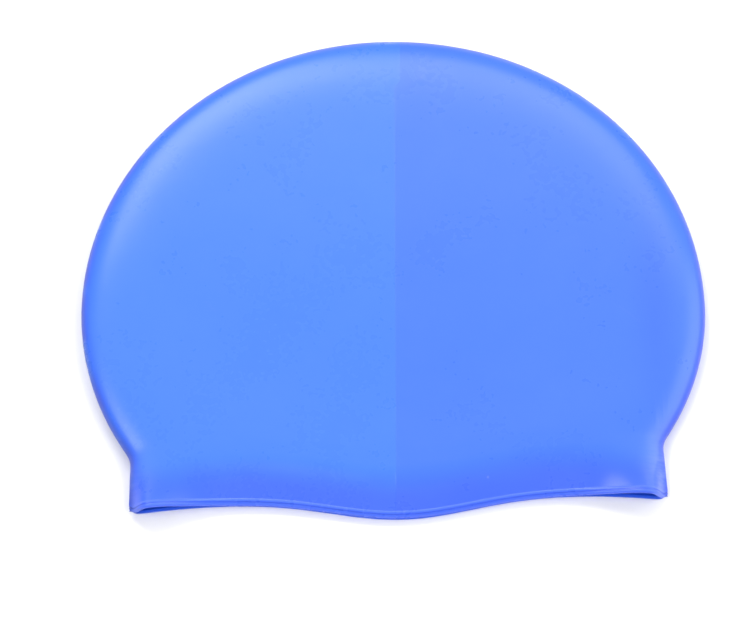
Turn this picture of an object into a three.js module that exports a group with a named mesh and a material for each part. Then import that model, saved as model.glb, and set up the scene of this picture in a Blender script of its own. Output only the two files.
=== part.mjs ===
// A moulded silicone swim cap, lying flat on its side as it comes off the head.
//
// The cap is one soft shell, folded flat: an upper and a lower layer that meet in a rounded fold
// all round the flanks and the crown. It is a little puffed, it is pinched towards the mouth, and
// a round bead runs round the mouth's rim. The mouth is closed in the middle, where the two beads
// lie on each other, and gapes at both corners.
//
// Millimetres. +Z is up, +Y runs from the mouth to the crown and +X to the right. While the shell
// is worked out, y = 0 is its widest line. At the end it is moved to stand on z = 0, centred.

import * as THREE from "three";

// The flat outline, seen from above
const flatWidth = 225; // fold to fold on the widest line
const crownRise = 106.1; // from the widest line to the crown's fold
const neckRound = 2; // how softly the flank turns into the band below the neck

// The two sides differ a little. The crown's outline is a superellipse of the given power, and the
// flank below the widest line is an ellipse with the given upright half-axis. At the neck it has
// come in by neckInset. From there the band flares out to the mouth, which gapes at its corner.
const left = { side: -1, crownPower: 2, flankRise: 101.8, neckInset: 20.8, flare: 0.004, gape: 8.6 };
const right = { side: 1, crownPower: 2.06, flankRise: 100.2, neckInset: 17.5, flare: 0.07, gape: 9.2 };

// The rim's line, seen from above
const rimDepth = 71.2; // from the widest line down to the rim
const rimSkew = 5.6; // how much higher the right corner lies than the left one
const tongueDrop = 6.6; // the tongue in the middle of the rim
const tongueShift = 3;
const tongueReach = 35;
const cornerDrop = 2.1; // the rim's dip at its two corners
const rimFade = 75; // how far into the cap the rim's curve is felt
const lipOverhang = 1.15; // the upper lip reaches this far over the lower one
const tongueLag = 0.7; // and this much less far at the tongue

// The shell and the bead round its rim
const wall = 1;
const beadProud = 0.5; // how far the bead stands out from the wall on each side
const beadDiameter = wall + 2 * beadProud;
const lipGap = 0.3; // left between the two beads where the mouth is closed

// Heights inside the puffed shell, between its two layers
const crownHollow = 10; // by the crown
const frontHollow = 8.2; // behind the rim
const foldHollow = 4; // from the lower layer up to the fold's outermost line
const mouthFoldHollow = 2.4; // the same at the corners of the mouth

// How quickly the layers round over, sag and close
const shoulderReach = 5.2; // the upper layer, inwards from the fold
const underRound = 5; // the lower layer's inside
const undersideReach = underRound + wall; // and its outside
const sag = 1.4; // the dish in the middle of the upper layer
const sagReach = 30;
const pinchReach = 17; // the upper layer's slope down to the rim
const gapeReach = 20; // how far the mouth gapes inwards from a corner
const cornerReach = 3.5; // where it has opened, right beside the corner
const foldRiseReach = 26; // where the fold has risen to its full height
const beadRampReach = 10; // where the lower layer has come down to the surface behind its bead

// How finely the shell is drawn
const loopPoints = 64;
const flankRows = 12;
const crownRows = 13;
const beadRings = 7;

// The upper layer's outside at the rim, where its bead lies on the lower one
const closedLipHeight = 1.5 * beadDiameter + lipGap + wall / 2;

// 0 below t = 0, 1 above t = 1, and smooth between.
function smoothStep(t) {
  const held = Math.min(1, Math.max(0, t));
  return held * held * (3 - 2 * held);
}

// The larger of two curves, with the corner between them rounded.
function blendedMax(a, b, blend) {
  const near = Math.max(0, blend - Math.abs(a.reach - b.reach)) / blend;
  const [high, low] = a.reach > b.reach ? [a, b] : [b, a];
  return {
    reach: high.reach + (near * near * blend) / 4,
    slope: high.slope * (1 - near / 2) + low.slope * (near / 2),
  };
}

// How far the fold lies from the centre line at y, on one side, and how fast that changes with y.
function foldAt(y, band) {
  const halfWidth = flatWidth / 2;
  const rise = y > 0 ? crownRise : band.flankRise;
  const power = y > 0 ? band.crownPower : 2;
  const height = Math.min(1, Math.abs(y) / rise);
  const across = Math.max(1e-6, 1 - height ** power) ** (1 / power);
  const steepness = (height / across) ** (power - 1);
  const dome = {
    reach: halfWidth * (height < 1 ? across : 0),
    slope: (-Math.sign(y) * halfWidth * steepness) / rise,
  };
  if (y > 0) return dome;
  const neckReach = halfWidth - band.neckInset;
  const neckY = -band.flankRise * Math.sqrt(1 - (neckReach / halfWidth) ** 2);
  const straight = { reach: neckReach + band.flare * (neckY - y), slope: -band.flare };
  return blendedMax(dome, straight, neckRound);
}

// The tongue's share of a place along the rim: 1 in its middle, and 0 well away from it.
function tongueAt(x) {
  return Math.exp(-(((x - tongueShift) / tongueReach) ** 2));
}

// How far the rim's line lies from a straight line across the cap, at x.
function rimOffset(x) {
  const share = x / (flatWidth / 2 - (left.neckInset + right.neckInset) / 2);
  return (rimSkew / 2) * share - tongueDrop * tongueAt(x) - cornerDrop * share ** 4;
}

// The y of a row of the shell at x. Rows follow the rim's curve near it and are straight above.
function rowLine(rowY, x) {
  const fade = 1 - smoothStep((rowY + rimDepth) / rimFade);
  return rowY + fade * rimOffset(x);
}

// Where a row meets the fold on one side.
function rowEnd(rowY, band) {
  let x = band.side * foldAt(rowY, band).reach;
  for (let turn = 0; turn < 4; turn++) {
    x = band.side * foldAt(rowLine(rowY, x), band).reach;
  }
  return { x, slope: foldAt(rowLine(rowY, x), band).slope };
}

// How far the mouth is open at a distance from one of its corners, as a share of its gape there.
function openness(fromCorner) {
  const opened = 1 - Math.exp(-((fromCorner / cornerReach) ** 2));
  return opened * Math.exp(-((fromCorner / gapeReach) ** 2));
}

// The height of the upper lip's outside along the rim, before it rounds into the folds.
function lipHeight(fromLeft, fromRight) {
  return closedLipHeight + left.gape * openness(fromLeft) + right.gape * openness(fromRight);
}

// The outside of the shell. The angle goes round the row: 0 on the right fold, over the upper
// layer to pi on the left fold, and back under the lower layer.
function shellPoint(rowY, angle) {
  const leftEnd = rowEnd(rowY, left);
  const rightEnd = rowEnd(rowY, right);
  const width = rightEnd.x - leftEnd.x;
  const x = (leftEnd.x + rightEnd.x) / 2 + (width / 2) * Math.cos(angle);
  const y = rowLine(rowY, x);
  const behindRim = y - rowLine(-rimDepth, x);

  const share = (1 + Math.cos(angle)) / 2;
  const slope = leftEnd.slope + (rightEnd.slope - leftEnd.slope) * share;
  const fromFold = (width * Math.sin(angle) ** 2) / 4 / Math.hypot(1, slope);

  const foldRise = smoothStep(behindRim / foldRiseReach);
  const fold = wall + mouthFoldHollow + (foldHollow - mouthFoldHollow) * foldRise;
  if (Math.sin(angle) < 0) {
    const ramp = beadProud * (1 - smoothStep(behindRim / beadRampReach));
    const round = 1 - Math.min(1, fromFold / undersideReach);
    return new THREE.Vector3(x, y, ramp + (fold - ramp) * (1 - Math.sqrt(1 - round * round)));
  }
  const along = smoothStep((y + rimDepth) / (crownRise + rimDepth));
  const dish = (1 - Math.exp(-((fromFold / sagReach) ** 2))) * (1 - Math.exp(-((behindRim / sagReach) ** 2)));
  const dome = 2 * wall + frontHollow + (crownHollow - frontHollow) * along - sag * dish;
  const lip = lipHeight(x - leftEnd.x, rightEnd.x - x);
  const pinch = Math.max(0, 1 - behindRim / pinchReach) ** 2;
  const top = dome + (lip - dome) * pinch;
  const rounded = Math.sqrt(1 - Math.exp(-fromFold / shoulderReach));
  const overhang = (lipOverhang - tongueLag * tongueAt(x)) * pinch;
  return new THREE.Vector3(x, y - overhang * rounded, fold + (top - fold) * rounded);
}

// The rows' nominal places, from the first row below the crown's tip to the rim. They lie closer
// together towards both ends, where the shell bends most.
function rowPlaces() {
  const crown = Array.from({ length: crownRows }, (_, i) => {
    const turn = 1 - ((i + 1) / crownRows) ** 1.25;
    return crownRise * Math.sin((turn * Math.PI) / 2);
  });
  const flank = Array.from({ length: flankRows }, (_, i) => {
    return -rimDepth * (1 - (1 - (i + 1) / flankRows) ** 1.5);
  });
  return [...crown, ...flank];
}

// The index of point j in ring i, where each ring holds loopPoints points.
const at = (i, j) => i * loopPoints + (j % loopPoints);

// Triangles between each ring and the next one.
function strips(ringCount) {
  const index = [];
  for (let i = 0; i < ringCount - 1; i++) {
    for (let j = 0; j < loopPoints; j++) {
      index.push(at(i, j), at(i, j + 1), at(i + 1, j + 1));
      index.push(at(i, j), at(i + 1, j + 1), at(i + 1, j));
    }
  }
  return index;
}

// Triangles that close the first ring, or the last one, with a single point.
function fan(ring, tip) {
  const index = [];
  for (let j = 0; j < loopPoints; j++) {
    if (ring === 0) index.push(at(ring, j + 1), at(ring, j), tip);
    else index.push(at(ring, j), at(ring, j + 1), tip);
  }
  return index;
}

function meshOf(points, index) {
  const geometry = new THREE.BufferGeometry().setFromPoints(points);
  geometry.setIndex(index);
  geometry.computeVertexNormals();
  return geometry;
}

// The outside as rings from the crown to the rim, with the crown's tip last, and its inward twin
// one wall further in.
function shellLayers() {
  const places = rowPlaces();
  const outer = places.flatMap((rowY) =>
    Array.from({ length: loopPoints }, (_, j) => shellPoint(rowY, (j / loopPoints) * 2 * Math.PI)),
  );
  outer.push(shellPoint(crownRise, 0));
  const { normal } = meshOf(outer, [...fan(0, outer.length - 1), ...strips(places.length)]).attributes;
  const normals = outer.map((_, i) => new THREE.Vector3().fromBufferAttribute(normal, i));
  const inner = outer.map((point, i) => point.clone().addScaledVector(normals[i], -wall));
  return { outer, inner, normals, rimRow: places.length - 1 };
}

// The bead's rings, from where it leaves the outside, over its tip, to where it meets the inside.
function beadPoints({ outer, normals, rimRow }) {
  const radius = beadDiameter / 2;
  const start = Math.PI - Math.asin(wall / beadDiameter);
  const rings = [];
  for (let i = 0; i < beadRings; i++) {
    const turn = start * (1 - (2 * i) / (beadRings - 1));
    for (let j = 0; j < loopPoints; j++) {
      const here = at(rimRow, j);
      const before = outer[at(rimRow, j + loopPoints - 1)];
      const along = new THREE.Vector3().subVectors(outer[at(rimRow, j + 1)], before).normalize();
      const out = normals[here].clone().addScaledVector(along, -normals[here].dot(along)).normalize();
      const forward = new THREE.Vector3().crossVectors(out, along);
      const centre = outer[here].clone().addScaledVector(normals[here], -wall / 2);
      centre.addScaledVector(forward, radius * Math.cos(turn));
      rings.push(centre.addScaledVector(out, radius * Math.sin(turn)));
    }
  }
  return rings;
}

// The whole shell as one closed body: the outside from the crown to the rim, the bead, and the
// inside back to the crown.
function capGeometry() {
  const layers = shellLayers();
  const { outer, inner, rimRow } = layers;
  const rows = Array.from({ length: rimRow }, (_, i) => i);
  const ring = (points, row) => points.slice(at(row, 0), at(row, 0) + loopPoints);
  const points = [
    ...rows.flatMap((row) => ring(outer, row)),
    ...beadPoints(layers),
    ...rows.toReversed().flatMap((row) => ring(inner, row)),
    outer.at(-1),
    inner.at(-1),
  ];
  const ringCount = 2 * rows.length + beadRings;
  const outerTip = points.length - 2;
  const innerTip = points.length - 1;
  return meshOf(points, [...fan(0, outerTip), ...strips(ringCount), ...fan(ringCount - 1, innerTip)]);
}

function cap() {
  const geometry = capGeometry();
  geometry.computeBoundingBox();
  const { min, max } = geometry.boundingBox;
  geometry.translate(-(min.x + max.x) / 2, -(min.y + max.y) / 2, -min.z);
  const silicone = new THREE.MeshStandardMaterial({ color: 0x3f82f5, roughness: 0.42, metalness: 0 });
  const mesh = new THREE.Mesh(geometry, silicone);
  mesh.name = "cap";
  return mesh;
}

const swimCap = new THREE.Group();
swimCap.name = "swim_cap";
swimCap.add(cap());

export default swimCap;
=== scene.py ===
import math

import bpy
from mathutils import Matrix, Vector


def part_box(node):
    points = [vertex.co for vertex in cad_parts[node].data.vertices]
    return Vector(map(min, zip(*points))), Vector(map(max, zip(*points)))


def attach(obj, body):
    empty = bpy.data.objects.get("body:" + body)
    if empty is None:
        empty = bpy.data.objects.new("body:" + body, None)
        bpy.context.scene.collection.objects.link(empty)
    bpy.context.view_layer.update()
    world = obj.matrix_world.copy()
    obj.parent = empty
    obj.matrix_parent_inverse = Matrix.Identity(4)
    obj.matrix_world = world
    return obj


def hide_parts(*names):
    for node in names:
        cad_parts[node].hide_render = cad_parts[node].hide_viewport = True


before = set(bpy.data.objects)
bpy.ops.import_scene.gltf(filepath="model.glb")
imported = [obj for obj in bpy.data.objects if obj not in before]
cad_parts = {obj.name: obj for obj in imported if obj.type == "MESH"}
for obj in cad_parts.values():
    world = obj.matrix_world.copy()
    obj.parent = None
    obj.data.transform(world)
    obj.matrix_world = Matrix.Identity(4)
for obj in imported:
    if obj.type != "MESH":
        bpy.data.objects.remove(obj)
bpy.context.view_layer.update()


# The camera looks down at the cap from its mouth's side, 70 degrees over the surface, as a shop
# photograph of a flat cap is taken.
camera_data = bpy.data.cameras.new("camera")
camera_data.lens = 85
camera_data.sensor_width = 36
camera_data.sensor_fit = "HORIZONTAL"
camera_data.clip_start = 0.05
camera = bpy.data.objects.new("camera", camera_data)
camera.location = (-0.0062, -0.23447, 0.6053)
camera.rotation_euler = (math.radians(20), 0, 0)
bpy.context.scene.collection.objects.link(camera)
bpy.context.scene.camera = camera


# The swim cap is one piece of injection moulded silicone, a shell that lies loose on the floor and
# folded flat, with a round bead moulded on its rim. The mould's halves leave a fine line on it,
# over the crown from rim to rim.
class Value:
    """One output in a node tree. A sum on it adds Math nodes, and node() adds any other node."""

    def __init__(self, tree, socket=None):
        self.tree = tree
        self.socket = socket

    def node(self, kind, settings=None, sockets=None, output=0):
        made = self.tree.nodes.new(kind)
        for name, setting in (settings or {}).items():
            setattr(made, name, setting)
        for name, given in (sockets or {}).items():
            if isinstance(given, Value):
                self.tree.links.new(given.socket, made.inputs[name])
            else:
                made.inputs[name].default_value = given
        return Value(self.tree, made.outputs[output])

    def also(self, output):
        return Value(self.tree, self.socket.node.outputs[output])

    def math(self, operation, *others):
        sockets = dict(enumerate((self, *others)))
        return self.node("ShaderNodeMath", {"operation": operation}, sockets)

    def __add__(self, other):
        return self.math("ADD", other)

    __radd__ = __add__

    def __sub__(self, other):
        return self.math("SUBTRACT", other)

    def __rsub__(self, other):
        return self.node("ShaderNodeMath", {"operation": "SUBTRACT"}, {0: other, 1: self})

    def __mul__(self, other):
        return self.math("MULTIPLY", other)

    __rmul__ = __mul__

    def __truediv__(self, other):
        return self.math("DIVIDE", other)

    def __rtruediv__(self, other):
        return self.node("ShaderNodeMath", {"operation": "DIVIDE"}, {0: other, 1: self})

    def __pow__(self, power):
        return self.math("POWER", power)


def bell(distance):
    """1 at no distance, and falling to 0 on both sides of it."""
    return (distance * distance * -1).math("EXPONENT")


def held(share):
    """A share that is kept from 0 to 1."""
    return share.math("MAXIMUM", 0).math("MINIMUM", 1)


def eased(share):
    """A share that leaves 0 and reaches 1 smoothly."""
    kept = held(share)
    return kept * kept * (3 - 2 * kept)


cap_sizes = {
    "Flat Width": 0.225,
    "Crown Rise": 0.1064,
    "Left Crown Power": 2.0,
    "Right Crown Power": 2.045,
    "Left Flank Power": 2.0,
    "Right Flank Power": 1.95,
    "Left Flank Rise": 0.1014,
    "Right Flank Rise": 0.0986,
    "Left Neck Inset": 0.0204,
    "Right Neck Inset": 0.0181,
    "Left Flare": 0.004,
    "Right Flare": 0.064,
    "Neck Round": 0.002,
    "Rim Depth": 0.0699,
    "Rim Skew": 0.0058,
    "Rim Fade": 0.075,
    "Tongue Drop": 0.0073,
    "Tongue Shift": 0.003,
    "Tongue Reach": 0.035,
    "Tongue Lag": 0.0003,
    "Corner Drop": 0.0030,
    "Lip Overhang": 0.0004,
    "Wall": 0.001,
    "Bead Diameter": 0.002,
    "Bead Length": 0.0026,
    "Bead Groove": 0.00022,
    "Bead Groove Reach": 0.00028,
    "Lip Gap": 0.0003,
    "Left Gape": 0.0086,
    "Right Gape": 0.0092,
    "Gape Reach": 0.020,
    "Corner Reach": 0.0035,
    "Corner Lift": 0.0008,
    "Corner Lift Width": 0.0012,
    "Corner Lift Depth": 0.003,
    "Crown Hollow": 0.010,
    "Front Hollow": 0.0082,
    "Fold Hollow": 0.004,
    "Mouth Fold Hollow": 0.0026,
    "Fold Rise Reach": 0.014,
    "Side Shoulder Reach": 0.0043,
    "Crown Shoulder Reach": 0.0076,
    "Underside Reach": 0.006,
    "Sag": 0.0014,
    "Sag Reach": 0.030,
    "Pinch Reach": 0.0158,
    "Pinch Bend": 0.009,
    "Bead Ramp Reach": 0.010,
    "Bead Relief Reach": 0.003,
    "Unevenness": 0.00012,
    "Unevenness Scale": 22.0,
    "Unevenness Roughness": 0.4,
}

around = 310
crown_rings = 52
flank_rings = 60
bead_rings = 20
ring_count = crown_rings + flank_rings + bead_rings + 1
crowding_at_folds = 0.3
crowding_at_crown = 1.25
crowding_at_rim = 1.5
sewing_distance = 1e-6
smallest_share = 1e-6
tip_share = 0.9999999


def fold_reach(y, side, size):
    """How far the fold lies from the centre line at y, and how fast that changes."""
    half = size["Flat Width"] / 2
    below = y.math("LESS_THAN", 0)
    above = 1 - below
    rise = above * size["Crown Rise"] + below * size[side + " Flank Rise"]
    flank_power = size[side + " Flank Power"]
    power = above * size[side + " Crown Power"] + below * flank_power
    height = (y.math("ABSOLUTE") / rise).math("MINIMUM", 1)
    across = (1 - height**power).math("MAXIMUM", smallest_share) ** (1 / power)
    dome = half * across * height.math("LESS_THAN", tip_share)
    dome_slope = (above - below) * -1 * half / rise * (height / across) ** (power - 1)
    neck = half - size[side + " Neck Inset"]
    neck_share = (1 - (neck / half) ** flank_power) ** (1 / flank_power)
    neck_y = size[side + " Flank Rise"] * -1 * neck_share
    straight = neck + size[side + " Flare"] * (neck_y - y)
    gap = dome - straight
    near = held(1 - gap.math("ABSOLUTE") / size["Neck Round"])
    from_dome = gap.math("GREATER_THAN", 0) * (1 - near) + near / 2
    band = dome.math("MAXIMUM", straight) + near * near * size["Neck Round"] / 4
    band_slope = from_dome * dome_slope - (1 - from_dome) * size[side + " Flare"]
    reach = above * dome + below * band
    return reach, above * dome_slope + below * band_slope


def tongue_at(x, size):
    """How much of the rim's tongue there is at x, as a share."""
    return bell((x - size["Tongue Shift"]) / size["Tongue Reach"])


def rim_offset(x, size):
    """How far the rim's line lies from a straight line across the cap."""
    insets = size["Left Neck Inset"] + size["Right Neck Inset"]
    share = x / (size["Flat Width"] / 2 - insets / 2)
    tongue = size["Tongue Drop"] * tongue_at(x, size)
    return size["Rim Skew"] / 2 * share - tongue - size["Corner Drop"] * share**4


def row_line(row, x, size):
    """The y of a row of the shell at x. Rows follow the rim near it."""
    fade = 1 - eased((row + size["Rim Depth"]) / size["Rim Fade"])
    return row + fade * rim_offset(x, size)


def row_end(row, side, size):
    """Where a row meets the fold on one side, and the fold's slope there, found in a few steps."""
    steps = 4
    sign = -1 if side == "Left" else 1
    reach, slope = fold_reach(row, side, size)
    for _ in range(steps):
        reach, slope = fold_reach(row_line(row, reach * sign, size), side, size)
    return reach * sign, slope


def openness(from_corner, size):
    """How far the mouth is open at a distance from its corner, as a share of its gape there."""
    return (1 - bell(from_corner / size["Corner Reach"])) * bell(from_corner / size["Gape Reach"])


def shell_point(row, angle, proud, size):
    """A point on the outside of the shell, and how far it lies from the fold and behind the rim.
    The angle is 0 on the right fold and half a turn on the left. Where the bead stands proud, the
    folds lie that much further in."""
    left, left_slope = row_end(row, "Left", size)
    right, right_slope = row_end(row, "Right", size)
    left = left + proud
    right = right - proud
    width = right - left
    sideways = angle.math("COSINE")
    turned = angle.math("SINE")
    x = (left + right) / 2 + width / 2 * sideways
    y = row_line(row, x, size)
    behind_rim = y - row_line(size["Rim Depth"] * -1, x, size)
    slope = left_slope + (right_slope - left_slope) * (1 + sideways) / 2
    from_fold = width * turned * turned / 4 / (1 + slope * slope).math("SQRT")

    risen = eased(behind_rim / size["Fold Rise Reach"])
    folds = size["Fold Hollow"] - size["Mouth Fold Hollow"]
    fold = size["Wall"] + size["Mouth Fold Hollow"] + folds * risen

    bead_rise = size["Bead Diameter"] / 2 - size["Wall"] / 2
    ramp = bead_rise * (1 - eased(behind_rim / size["Bead Ramp Reach"]))
    bend = 1 - (from_fold / size["Underside Reach"]).math("MINIMUM", 1)
    low = ramp + (fold - ramp) * (1 - (1 - bend * bend).math("SQRT"))

    along = eased((y + size["Rim Depth"]) / (size["Crown Rise"] + size["Rim Depth"]))
    dish = (1 - bell(from_fold / size["Sag Reach"])) * (1 - bell(behind_rim / size["Sag Reach"]))
    hollow = size["Front Hollow"] + (size["Crown Hollow"] - size["Front Hollow"]) * along
    dome = 2 * size["Wall"] + hollow - size["Sag"] * dish
    closed_lip = 1.5 * size["Bead Diameter"] + size["Lip Gap"] + size["Wall"] / 2
    left_gape = size["Left Gape"] * openness(x - left, size)
    right_gape = size["Right Gape"] * openness(right - x, size)
    lip = closed_lip + left_gape + right_gape
    inwards = (size["Pinch Reach"] - behind_rim).math("MAXIMUM", 0)
    bent = inwards.math("MINIMUM", size["Pinch Bend"])
    full_pinch = size["Pinch Reach"] - size["Pinch Bend"] / 2
    pinch = (inwards - bent + bent * bent / (2 * size["Pinch Bend"])) / full_pinch
    shoulders = size["Crown Shoulder Reach"] - size["Side Shoulder Reach"]
    shoulder = size["Side Shoulder Reach"] + shoulders * eased(y / (size["Crown Rise"] / 2))
    rounded = (1 - (from_fold / shoulder * -1).math("EXPONENT")).math("SQRT")
    top = dome + (lip - dome) * pinch
    high = fold + (top - fold) * rounded
    overhang = (size["Lip Overhang"] - size["Tongue Lag"] * tongue_at(x, size)) * pinch

    lift_width = size["Corner Lift Width"]
    corners = bell((x - left) / lift_width) + bell((right - x) / lift_width)
    near_rim = bell(behind_rim.math("MAXIMUM", 0) / size["Corner Lift Depth"])
    lifted = size["Corner Lift"] * corners * near_rim

    upper = turned.math("GREATER_THAN", 0)
    place = x.node("ShaderNodeCombineXYZ", None, {"X": x, "Y": y, "Z": 0.0})
    clouds = place.node(
        "ShaderNodeTexNoise",
        {"noise_dimensions": "3D"},
        {
            "Vector": place,
            "Scale": size["Unevenness Scale"],
            "Detail": 1.0,
            "Roughness": size["Unevenness Roughness"],
        },
    )
    uneven = (clouds - 0.5) * 2 * size["Unevenness"] * rounded
    z = upper * (high + uneven) + (1 - upper) * low
    point = {"X": x, "Y": y + lifted - upper * overhang * rounded, "Z": z}
    return x.node("ShaderNodeCombineXYZ", None, point), from_fold, behind_rim


def shell_tree(sizes):
    """The whole cap from its sizes: a net of rings from the crown to the bead's edge, which gets
    an outside and an inside that meet in the bead."""
    tree = bpy.data.node_groups.new("moulded shell", "GeometryNodeTree")
    for name in sizes:
        tree.interface.new_socket(name=name, in_out="INPUT", socket_type="NodeSocketFloat")
    for name in ("Centre X", "Centre Y", "Floor Z"):
        tree.interface.new_socket(name=name, in_out="INPUT", socket_type="NodeSocketFloat")
    tree.interface.new_socket(name="Finish", in_out="INPUT", socket_type="NodeSocketMaterial")
    tree.interface.new_socket(name="Shell", in_out="OUTPUT", socket_type="NodeSocketGeometry")
    given = tree.nodes.new("NodeGroupInput")
    size = {socket.name: Value(tree, socket) for socket in given.outputs if socket.name}

    index = Value(tree).node("GeometryNodeInputIndex")
    step = (index / ring_count).math("FLOOR")
    ring = index - step * ring_count
    turn = step / around
    angle = 2 * math.pi * turn + crowding_at_folds * (4 * math.pi * turn).math("SINE")
    crown_share = held(ring / crown_rings)
    flank_share = held((ring - crown_rings) / flank_rings)
    bead_share = held((ring - crown_rings - flank_rings) / bead_rings)

    radius = size["Bead Diameter"] / 2
    bead_half = size["Bead Length"] / 2
    start = (size["Wall"] / size["Bead Diameter"]).math("ARCSINE")
    bead_turn = start + (math.pi - start) * bead_share
    crown_turn = (1 - crown_share**crowding_at_crown) * (math.pi / 2)
    crown_part = size["Crown Rise"] * crown_turn.math("SINE")
    bead_start = size["Rim Depth"] - bead_half * start.math("COSINE")
    flank_part = bead_start * (1 - (1 - flank_share) ** crowding_at_rim)
    from_bead_top = bead_half * bead_turn.math("COSINE")
    bead_part = bead_half * (bead_turn.math("COSINE") - start.math("COSINE"))
    row = crown_part - flank_part + bead_part
    groove = size["Bead Groove"] * bell(from_bead_top / size["Bead Groove Reach"])
    half_thickness = radius * bead_turn.math("SINE") - groove

    net = Value(tree).node(
        "GeometryNodeMeshGrid",
        None,
        {"Size X": 1.0, "Size Y": 1.0, "Vertices X": around + 1, "Vertices Y": ring_count},
    )

    def keep(shape, name, value):
        """The shape with a value kept on its points under a name."""
        return shape.node(
            "GeometryNodeStoreNamedAttribute",
            {"data_type": "FLOAT", "domain": "POINT"},
            {"Geometry": shape, "Name": name, "Value": value},
        )

    def kept_value(shape, name):
        return shape.node(
            "GeometryNodeInputNamedAttribute", {"data_type": "FLOAT"}, {"Name": name}
        )

    def merged(shape):
        return shape.node(
            "GeometryNodeMergeByDistance", None, {"Geometry": shape, "Distance": sewing_distance}
        )

    to_bead_top = bead_turn.math("MINIMUM", math.pi / 2)
    proud = (radius * to_bead_top.math("SINE") - size["Wall"] / 2).math("MAXIMUM", 0)
    point, from_fold, behind_rim = shell_point(row, angle, proud, size)
    kept = keep(net, "half thickness", half_thickness)
    kept = keep(kept, "from fold", from_fold)
    kept = keep(kept, "behind rim", behind_rim)
    placed = kept.node("GeometryNodeSetPosition", None, {"Geometry": kept, "Position": point})
    sewn = merged(placed)
    thickness = kept_value(sewn, "half thickness")
    at_fold = bell(kept_value(sewn, "from fold") / size["Bead Relief Reach"])
    relief = (thickness - size["Wall"] / 2).math("MAXIMUM", 0) * at_fold
    normal = sewn.node("GeometryNodeInputNormal")

    def offset(distance):
        return normal.node(
            "ShaderNodeVectorMath", {"operation": "SCALE"}, {"Vector": normal, "Scale": distance}
        )

    outside = sewn.node(
        "GeometryNodeSetPosition",
        None,
        {"Geometry": sewn, "Offset": offset(thickness - size["Wall"] / 2)},
    )
    inside = sewn.node(
        "GeometryNodeSetPosition",
        None,
        {"Geometry": sewn, "Offset": offset(relief - thickness - size["Wall"] / 2)},
    )
    outside = keep(outside, "inside", 0.0)
    inside = keep(inside, "inside", 1.0)
    turned_in = inside.node("GeometryNodeFlipFaces", None, {"Mesh": inside})
    both = Value(tree).node("GeometryNodeJoinGeometry")
    tree.links.new(turned_in.socket, both.socket.node.inputs[0])
    tree.links.new(outside.socket, both.socket.node.inputs[0])
    closed = merged(both)
    centre = size["Centre X"].node(
        "ShaderNodeCombineXYZ",
        None,
        {"X": size["Centre X"], "Y": size["Centre Y"], "Z": size["Floor Z"]},
    )
    moved = closed.node("GeometryNodeTransform", None, {"Geometry": closed, "Translation": centre})
    smooth = moved.node("GeometryNodeSetShadeSmooth", None, {0: moved})
    real = smooth.node("GeometryNodeRealizeInstances", None, {0: smooth})
    finished = real.node(
        "GeometryNodeSetMaterial", None, {"Geometry": real, "Material": size["Finish"]}
    )
    end = tree.nodes.new("NodeGroupOutput")
    tree.links.new(finished.socket, end.inputs[0])
    return tree


left_blue = (0.0610, 0.188, 0.92, 1)
right_blue = (0.0600, 0.168, 0.92, 1)
band_shade_blue = (0.0550, 0.128, 0.92, 1)
fold_shade_violet = (0.070, 0.115, 0.80, 1)
pale_marks_and_highlight_blue = (0.150, 0.240, 0.92, 1)
mouth_shade_blue = (0.012, 0.100, 0.82, 1)
cloud_tones = {"broad": 0.04, "patchy": 0.025, "fine": 0.02, "grain": 0.02}
cloud_roughness = {"broad": 0.05, "patchy": 0.03, "fine": 0.03}
cloud_heights = {"patchy": 0.00004, "fine": 0.000004, "grain": 0.000003}


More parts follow.
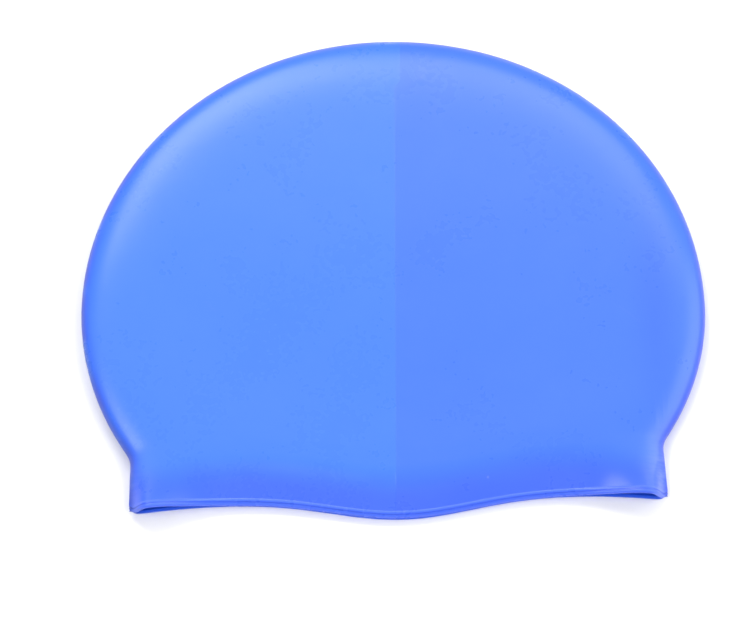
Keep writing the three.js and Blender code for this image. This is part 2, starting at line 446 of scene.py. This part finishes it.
def silicone():
    """Satin blue silicone, a little greener left of the mould's fine raised line than right of it.
    It is a little cloudy, with painted shade at its folds, rim band and inside, and painted
    highlights on its bead and the band's ends."""
    material = bpy.data.materials.new("satin silicone")
    material.use_nodes = True
    tree = material.node_tree
    shader = tree.nodes["Principled BSDF"]
    shader.inputs["IOR"].default_value = 1.41

    place = Value(tree).node("ShaderNodeTexCoord", output="Object")
    x = place.node("ShaderNodeSeparateXYZ", None, {"Vector": place})
    y = x.also("Y")

    def kept_at(name):
        return place.node("ShaderNodeAttribute", {"attribute_name": name}, None, "Fac")

    def cloud(scale, detail, stretch=(1, 1, 1)):
        drawn = place.node("ShaderNodeMapping", None, {"Vector": place, "Scale": stretch})
        sockets = {"Vector": drawn, "Scale": scale, "Detail": detail, "Roughness": 0.55}
        return drawn.node("ShaderNodeTexNoise", {"noise_dimensions": "3D"}, sockets) - 0.5

    def line(start, end, width):
        """A thin mark between two places, as a share from 0 to 1."""
        length = math.dist(start, end)
        step_x = (end[0] - start[0]) / length
        step_y = (end[1] - start[1]) / length
        along = (x - start[0]) * step_x + (y - start[1]) * step_y
        across = (x - start[0]) * step_y - (y - start[1]) * step_x
        past = (along - length / 2).math("ABSOLUTE") - length / 2
        return bell(across / width) * bell(past.math("MAXIMUM", 0) / width)

    def spot(centre, reach_x, reach_y):
        return bell((x - centre[0]) / reach_x) * bell((y - centre[1]) / reach_y)

    def blend(share, first, second):
        colours = {0: share, 6: first, 7: second}
        return place.node("ShaderNodeMix", {"data_type": "RGBA"}, colours, 2)

    from_fold = kept_at("from fold")
    behind_rim = kept_at("behind rim")
    inside = kept_at("inside")

    # The mould's line runs from the rim to the crown, where it steps to the right.
    seam_start = 0.0011
    seam_step = 0.0021
    step_from = 0.070
    step_length = 0.004
    seam_x = seam_start + seam_step * eased((y - step_from) / step_length)
    past_seam = eased((x - seam_x) / 0.0006 + 0.5)
    seam_ridge = bell((x - seam_x) / 0.00025)

    # Wear has left marks on the crown and on both flanks. The ends of the band carry fine wrinkles
    # with painted highlights on them.
    crease = line((0.0107, 0.0738), (0.0172, 0.0822), 0.0016)
    scratch_width = 0.0003
    scratches = line((0.0814, -0.0161), (0.0882, -0.0218), scratch_width)
    scratches = scratches + line((-0.0670, -0.0142), (-0.0633, -0.0180), scratch_width)
    crown_rub = spot((-0.0024, 0.0913), 0.0036, 0.0008)
    speck = spot((0.0330, -0.0786), 0.00035, 0.00035)
    right_wrinkles_and_highlight = spot((0.0933, -0.0760), 0.0042, 0.0095)
    left_wrinkles_and_highlight = spot((-0.0893, -0.0805), 0.0040, 0.0075)
    flank_lines = spot((0.0945, -0.0570), 0.0035, 0.0080)

    patchy = cloud(80, 1)
    clouds = {
        "broad": cloud(28, 2),
        "patchy": patchy,
        "fine": cloud(420, 1),
        "grain": cloud(2600, 1),
    }

    def clouded(start, weights):
        """A start value with the clouds on it, each by its weight."""
        for name, weight in weights.items():
            start = start + clouds[name] * weight
        return start

    across_band = cloud(260, 2, (0.35, 2.4, 1))
    along_flank = cloud(260, 2, (2.4, 0.35, 1))
    # Near the folds' edges the blue turns a darker violet: painted shade where the surface turns
    # away from the lights. The mask also roughens the edges a little.
    fold_edge_shade = bell(from_fold / 0.0024) * eased(0.8 + patchy * 4)

    # The blue is a little greener left of the mould's line than right of it.
    blue = blend(past_seam, left_blue, right_blue)
    # The sloping band by the rim is painted a darker, more violet blue: painted shade where it
    # faces away from the lights.
    on_band = 1 - eased((behind_rim - 0.004 + patchy * 0.004) / 0.011)
    blue = blend(on_band * 0.7, blue, band_shade_blue)
    blue = blend(held(fold_edge_shade * 0.8), blue, fold_shade_violet)
    # Two thin paler lines along the bead are painted highlights, where its top and its lower edge
    # catch the light.
    bead_line_width = 0.0004
    bead_highlight_lines = bell((behind_rim - 0.0009) / bead_line_width)
    bead_highlight_lines = bead_highlight_lines + bell((behind_rim + 0.0008) / bead_line_width)
    # Pale blue for real marks (a rub, a speck, scratches, a crease) and for painted highlights on
    # the bead and the band's ends.
    marks_and_highlights = crown_rub * 0.8 + speck + scratches * 0.06 + crease * 0.05 + bead_highlight_lines * 0.25
    # At both ends of the band the wrinkled patches are painted paler: painted highlights where the
    # rounded band faces the side lights.
    marks_and_highlights = marks_and_highlights + right_wrinkles_and_highlight * (0.42 + across_band * 1.6)
    marks_and_highlights = marks_and_highlights + left_wrinkles_and_highlight * (0.25 + across_band * 0.8)
    blue = blend(held(marks_and_highlights), blue, pale_marks_and_highlight_blue)
    # The shell's inside is painted a deep blue: painted shade inside the mouth.
    blue = blend(inside, blue, mouth_shade_blue)
    flank_shade = spot((0.0945, -0.0180), 0.0075, 0.0380)
    on_left = 1 - eased(x / 0.1 + 0.5)
    # A thin dark line along the folds' very edge is painted shade.
    fold_shade_line = bell(from_fold / 0.0014)
    left_shade = on_left * bell(from_fold / 0.0034)
    # A thin dark line along the rim's edge is painted shade.
    rim_edge_shade = bell(behind_rim / 0.0003)
    tone = clouded(1, cloud_tones) - flank_shade * 0.10 - fold_shade_line * 0.20
    tone = tone - left_shade * 0.16 - rim_edge_shade * 0.22
    toned = {"Vector": blue, "Scale": tone}
    blue = blue.node("ShaderNodeVectorMath", {"operation": "SCALE"}, toned)
    tree.links.new(blue.socket, shader.inputs["Base Color"])

    satin = 0.28
    rough = clouded(satin, cloud_roughness) + fold_edge_shade * 0.05 + inside * 0.14
    tree.links.new(rough.socket, shader.inputs["Roughness"])

    wrinkles = across_band * (right_wrinkles_and_highlight + left_wrinkles_and_highlight * 0.5) + along_flank * flank_lines
    height = clouded(0, cloud_heights)
    height = height + seam_ridge * 0.00004 + crease * 0.00006 + wrinkles * 0.00018
    height = height - scratches * 0.00001
    relief = height.node("ShaderNodeBump", None, {"Height": height, "Distance": 1.0})
    tree.links.new(relief.socket, shader.inputs["Normal"])
    return material


low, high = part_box("cap")
widest_from_crown = 0.1061
lean_to_right = 0.0004
cap_places = {
    "Centre X": (low.x + high.x) / 2 + lean_to_right,
    "Centre Y": high.y - widest_from_crown,
    "Floor Z": low.z,
}
cap_finish = silicone()
cap_maker = bpy.data.objects.new("cap maker", bpy.data.meshes.new("cap maker"))
cap_maker.data.materials.append(cap_finish)
bpy.context.scene.collection.objects.link(cap_maker)
moulding = cap_maker.modifiers.new("moulding", "NODES")
moulding.node_group = shell_tree(cap_sizes)
cap_inputs = {**cap_sizes, **cap_places, "Finish": cap_finish}
for item in moulding.node_group.interface.items_tree:
    if item.in_out == "INPUT":
        moulding[item.identifier] = cap_inputs[item.name]
moulded = cap_maker.evaluated_get(bpy.context.evaluated_depsgraph_get())
cap_mesh = bpy.data.meshes.new_from_object(moulded)
bpy.data.objects.remove(cap_maker)
swim_cap = bpy.data.objects.new("swim_cap", cap_mesh)
bpy.context.scene.collection.objects.link(swim_cap)
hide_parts("cap")
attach(swim_cap, "root")


# The floor is a plain sheet of white board with a matt, faintly uneven face. It lies under the
# whole cap and reaches far past the view.
floor_mesh = bpy.data.meshes.new("floor")
floor_mesh.from_pydata([(-4, -4, 0), (4, -4, 0), (4, 4, 0), (-4, 4, 0)], [], [(0, 1, 2, 3)])
floor = bpy.data.objects.new("floor", floor_mesh)
board = bpy.data.materials.new("white board")
board.use_nodes = True
board_shader = board.node_tree.nodes["Principled BSDF"]
board_shader.inputs["IOR"].default_value = 1.45
board_place = Value(board.node_tree).node("ShaderNodeTexCoord", output="Object")
board_fibres = board_place.node(
    "ShaderNodeTexNoise", None, {"Vector": board_place, "Scale": 900.0, "Detail": 4.0}
)
board_tone = board_fibres.node(
    "ShaderNodeMix",
    {"data_type": "RGBA"},
    {0: board_fibres, 6: (0.905, 0.905, 0.915, 1), 7: (0.935, 0.935, 0.945, 1)},
    2,
)
board_relief = board_fibres.node(
    "ShaderNodeBump", None, {"Height": board_fibres * 0.00001, "Distance": 1.0}
)
board.node_tree.links.new(board_tone.socket, board_shader.inputs["Base Color"])
board.node_tree.links.new((0.7 + board_fibres * 0.2).socket, board_shader.inputs["Roughness"])
board.node_tree.links.new(board_relief.socket, board_shader.inputs["Normal"])
floor_mesh.materials.append(board)
bpy.context.scene.collection.objects.link(floor)


# Softboxes stand round the back and both sides of the cap, 1.5 m from it. Each is set by its
# tilt from straight above, its turn from the back to the right, and its strength on white. The
# studio's walls are pale near the floor and dim above.
light_distance = 1.5


def softbox(name, tilt, turn, width, height, strength):
    data = bpy.data.lights.new(name, "AREA")
    data.shape = "RECTANGLE"
    data.size = width
    data.size_y = height
    data.energy = strength * math.pi**2 * light_distance**2
    light = bpy.data.objects.new(name, data)
    out = math.sin(math.radians(tilt))
    sideways = out * math.sin(math.radians(turn))
    back = out * math.cos(math.radians(turn))
    up = math.cos(math.radians(tilt))
    light.location = Vector((sideways, back, up)) * light_distance
    light.rotation_euler = light.location.to_track_quat("Z", "Y").to_euler()
    bpy.context.scene.collection.objects.link(light)


softbox("back left softbox", 42, 336, 0.65, 0.65, 0.48)
softbox("back right softbox", 38, 20, 0.7, 0.6, 0.27)
softbox("right softbox", 48, 95, 1.6, 1.2, 0.88)
softbox("left softbox", 31, 246, 0.8, 0.6, 0.48)
softbox("front softbox", 45, 180, 0.8, 0.5, 0.05)

world = bpy.data.worlds.new("studio")
world.use_nodes = True
studio_walls = world.node_tree.nodes["Background"]
studio_walls.inputs["Color"].default_value = (1, 1, 1, 1)
outwards = Value(world.node_tree).node("ShaderNodeTexCoord", output="Generated")
upwards = outwards.node("ShaderNodeSeparateXYZ", None, {"Vector": outwards}, "Z")
strength_at_floor = 0.95
strength_above = 0.10
fall = (strength_at_floor - strength_above) * eased((upwards - 0.10) / 0.12)
walls_strength = strength_at_floor - fall
world.node_tree.links.new(walls_strength.socket, studio_walls.inputs["Strength"])
bpy.context.scene.world = world
bpy.context.scene.view_settings.view_transform = "Standard"
